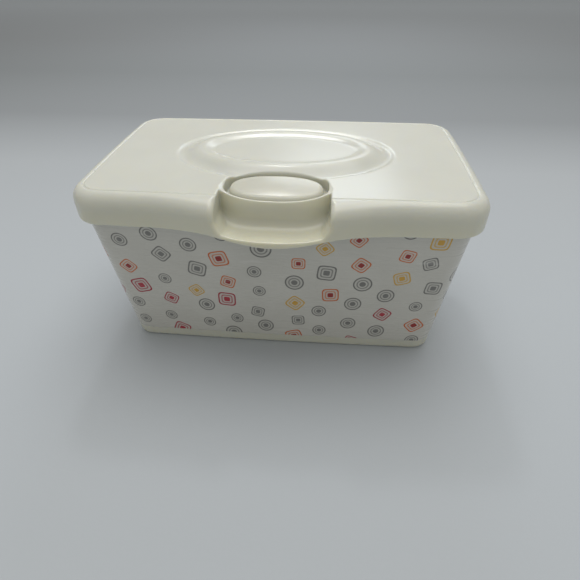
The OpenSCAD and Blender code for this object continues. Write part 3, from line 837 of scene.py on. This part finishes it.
def printed_film():
    """Paper-white film with a scatter of round and squarish ringed motifs in a half-drop layout."""
    finish = Finish("printed_film", IOR=1.5, Coat_Weight=0.25, Coat_Roughness=0.12)
    maths = finish.maths
    uv = finish.add("SeparateXYZ", {0: finish.add("UVMap", uv_map="motifs").outputs[0]})
    column = maths("FLOOR", uv.outputs["X"])
    across = maths("FRACT", uv.outputs["X"])
    level = maths("ADD", uv.outputs["Y"], maths("MULTIPLY", maths("MODULO", column, 2.0), 0.5))
    row = maths("FLOOR", level)
    up = maths("FRACT", level)

    def chance(seed):
        cell = finish.add("CombineXYZ", {0: column, 1: row, 2: seed})
        return finish.add("TexWhiteNoise", {"Vector": cell.outputs[0]}, noise_dimensions="3D")

    place, kind = chance(3.7), chance(11.3)
    spot = finish.add("SeparateColor", {0: place.outputs["Color"]})
    form = finish.add("SeparateColor", {0: kind.outputs["Color"]})
    wide = 2 * (sum(tub_half(50)) * 2 - 4 * CORNER + math.pi * CORNER) / MOTIF_COLUMNS
    big = maths("POWER", form.outputs[1], 2.0)

    def offset(share, stray, room, less_room, length):
        """Distance from a motif's middle, which strays less from its cell's middle where it is big."""
        reach = maths("MULTIPLY_ADD", big, -less_room, room)
        middle = maths("MULTIPLY_ADD", maths("SUBTRACT", stray, 0.5), reach, 0.5)
        return maths("MULTIPLY", maths("SUBTRACT", share, middle), length)

    x = offset(across, spot.outputs[0], 0.52, 0.27, wide)
    y = offset(up, spot.outputs[1], 0.38, 0.34, MOTIF_H)
    turn = maths("MULTIPLY", spot.outputs[2], math.pi / 2)
    cos, sin = maths("COSINE", turn), maths("SINE", turn)
    along = maths("ABSOLUTE", maths("ADD", maths("MULTIPLY", x, cos), maths("MULTIPLY", y, sin)))
    aside = maths("ABSOLUTE", maths("SUBTRACT", maths("MULTIPLY", y, cos), maths("MULTIPLY", x, sin)))
    power = maths("MULTIPLY_ADD", maths("GREATER_THAN", form.outputs[0], 0.45), 2.6, 2.0)
    total = maths("ADD", maths("POWER", along, power), maths("POWER", aside, power))
    size = maths("MULTIPLY_ADD", big, 2.1, 3.95)
    reach = maths("DIVIDE", maths("POWER", total, maths("DIVIDE", 1.0, power)), size)

    core = finish.ramp(kind.outputs["Value"], *[(m[0], m[1]) for m in MOTIFS], interpolation="CONSTANT")
    ring = finish.ramp(kind.outputs["Value"], *[(m[0], m[2]) for m in MOTIFS], interpolation="CONSTANT")
    inner = finish.ramp(reach, (0.32, 1.0), (0.35, 0.0))
    rings = finish.ramp(
        reach, (0.48, 0.0), (0.51, 0.75), (0.62, 0.75), (0.65, 0.0), (0.82, 0.0), (0.85, 1.0), (0.97, 1.0),
        (1.0, 0.0))
    paper = finish.ramp(finish.noise(35, 2), (0.3, (0.58, 0.575, 0.53)), (0.7, (0.62, 0.615, 0.57)))
    tint = finish.mix(maths("MULTIPLY", maths("LESS_THAN", reach, 0.86), 0.12), paper, ring)
    colour = finish.mix(inner, finish.mix(rings, tint, ring), core)
    scuffs = finish.noise(260, 5, (0.12, 0.12, 1))
    worn = finish.ramp(scuffs, (0.66, 0.0), (0.72, 0.22))
    finish.bump(finish.noise(120, 2), 0.06, 0.0003)
    return finish.set(
        Base_Color=finish.mix(worn, colour, (0.8, 0.8, 0.78)),
        Roughness=finish.spread(scuffs, 0.4, 0.7, 0.24, 0.4))


# ---------------------------------------------------------------- stage


# The photograph's viewpoint, solved from the box's corners
PHOTO_SIDE = 580  # pixels
FOCAL_LENGTH = 438  # pixels
CAMERA_PLACE = (25.79, -255.916, 207.753)
CAMERA_TURN = (-0.0895939, 0.6718275, -0.0077537)  # yaw, pitch and roll, in radians


def add_camera():
    data = bpy.data.cameras.new("camera")
    data.sensor_width = 36
    data.lens = data.sensor_width * FOCAL_LENGTH / PHOTO_SIDE
    data.clip_start = 0.01
    yaw, pitch, roll = CAMERA_TURN
    forward = Vector((math.sin(yaw) * math.cos(pitch), math.cos(yaw) * math.cos(pitch), -math.sin(pitch)))
    right = Vector((math.cos(yaw), -math.sin(yaw), 0))
    up = right.cross(forward)
    x_axis = right * math.cos(roll) + up * math.sin(roll)
    y_axis = up * math.cos(roll) - right * math.sin(roll)
    camera = bpy.data.objects.new("camera", data)
    turn = Matrix((x_axis, y_axis, -forward)).transposed().to_4x4()
    camera.matrix_world = Matrix.Translation(Vector(CAMERA_PLACE) * MM) @ turn
    bpy.context.scene.collection.objects.link(camera)
    bpy.context.scene.camera = camera


def add_lamp(name, place, target, size, power, tint):
    data = bpy.data.lights.new(name, "AREA")
    data.shape = "DISK"
    data.size = size
    data.energy = power
    data.color = tint
    lamp = bpy.data.objects.new(name, data)
    lamp.location = place
    lamp.rotation_euler = (Vector(target) - Vector(place)).to_track_quat("-Z", "Y").to_euler()
    bpy.context.scene.collection.objects.link(lamp)


def add_floor():
    mesh = bpy.data.meshes.new("floor")
    reach = 3
    corners = [(-reach, -reach, 0), (reach, -reach, 0), (reach, reach, 0), (-reach, reach, 0)]
    mesh.from_pydata(corners, [], [(0, 1, 2, 3)])
    floor = add_piece("floor", mesh)
    finish = Finish("floor_card", Specular_IOR_Level=0.2, Roughness=0.85)
    depth = finish.add("SeparateXYZ", {0: finish.place()}).outputs["Y"]
    # Painted light: the card is bluish grey for the cool light on it, darker in a band behind the dispenser
    # and lighter again far back, standing for how the light falls across it.
    painted_light_card = finish.ramp(
        finish.spread(depth, -0.25, 1.85), (0.0, (0.53, 0.57, 0.61)), (0.12, (0.52, 0.56, 0.6)),
        (0.23, (0.46, 0.49, 0.52)), (0.32, (0.31, 0.33, 0.35)), (0.45, (0.28, 0.3, 0.315)),
        (0.64, (0.33, 0.35, 0.37)), (1.0, (0.47, 0.51, 0.55)))
    finish.bump(finish.noise(700, 4), 0.15, 0.0003)
    mesh.materials.append(finish.set(Base_Color=painted_light_card))


def light_the_stage():
    world = bpy.data.worlds.new("studio")
    world.use_nodes = True
    sky = world.node_tree.nodes["Background"]
    sky.inputs["Color"].default_value = (1.0, 0.975, 0.92, 1)
    sky.inputs["Strength"].default_value = 0.42
    bpy.context.scene.world = world
    add_lamp("overhead", (0.05, 0.3, 1.35), (0, 0, 0.1), 1.3, 9, (1.0, 0.99, 0.96))
    add_lamp("window", (0.05, 1.1, 0.8), (0, 0, 0.1), 0.5, 1.6, (0.85, 0.92, 1.0))
    add_lamp("sparkle", (-0.12, 0.62, 1.05), (0, 0, 0.1), 0.12, 0.9, (1.0, 1.0, 1.0))
    bpy.context.scene.view_settings.view_transform = "Standard"


# ---------------------------------------------------------------- assembly


def dress(piece, finish, body, slot, *nodes):
    """Gives a piece its finish, its body and the solids that it stands for."""
    if not piece.data.materials:
        piece.data.materials.append(finish)
    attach(piece, body)
    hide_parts(*nodes)


def dress_solids(finish, *nodes):
    """New finish on solids that stay as they are."""
    for node in nodes:
        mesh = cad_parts[node].data
        mesh.materials.clear()
        mesh.materials.append(finish)


add_camera()
light_the_stage()
add_floor()

lid_plastic = milky_plastic("lid_polypropylene", (0.74, 0.745, 0.665), (0.72, 0.71, 0.585), 0.2)
tub_plastic = milky_plastic("tub_polypropylene", (0.7, 0.7, 0.62), (0.66, 0.66, 0.56), 0.3)
# Painted shade: the button's plastic is a darker, creamier copy of the lid's, standing for the shade on the
# button in its well.
button_plastic = milky_plastic("button_polypropylene", (0.68, 0.675, 0.59), (0.66, 0.65, 0.54), 0.2)
elastomer = soft_elastomer()
pin_steel = drawn_steel("pin_steel", 0.62)
spring_steel = drawn_steel("spring_steel", 0.52)

dress(moulding("tub_moulding", tub, tub_axes()), tub_plastic, "tub", "tub_plastic", "tub")
dress(make_film(), printed_film(), "tub", "print", "printed_wrap")
dress(
    moulding("collar_moulding", collar, collar_axes()), lid_plastic, "collar", "lid_plastic",
    "collar", "latch_pocket")
dress(
    moulding("membrane_moulding", membrane, membrane_axes()), elastomer, "collar", "soft_grey",
    "orifice_membrane")
dress(moulding("lid_moulding", lid, lid_axes(), 1, 26), lid_plastic, "lid", "lid_plastic", "lid_shell")
dress(moulding("seal_moulding", seal, seal_axes()), elastomer, "lid", "soft_grey", "lid_seal")
dress(
    moulding("button_moulding", button, button_axes()), button_plastic, "button", "button_plastic",
    "push_button")
dress(make_spring(spring_steel), spring_steel, "lid", "spring_steel", "button_spring")
dress_solids(pin_steel, "hinge_pin_left", "hinge_pin_right", "button_axle")
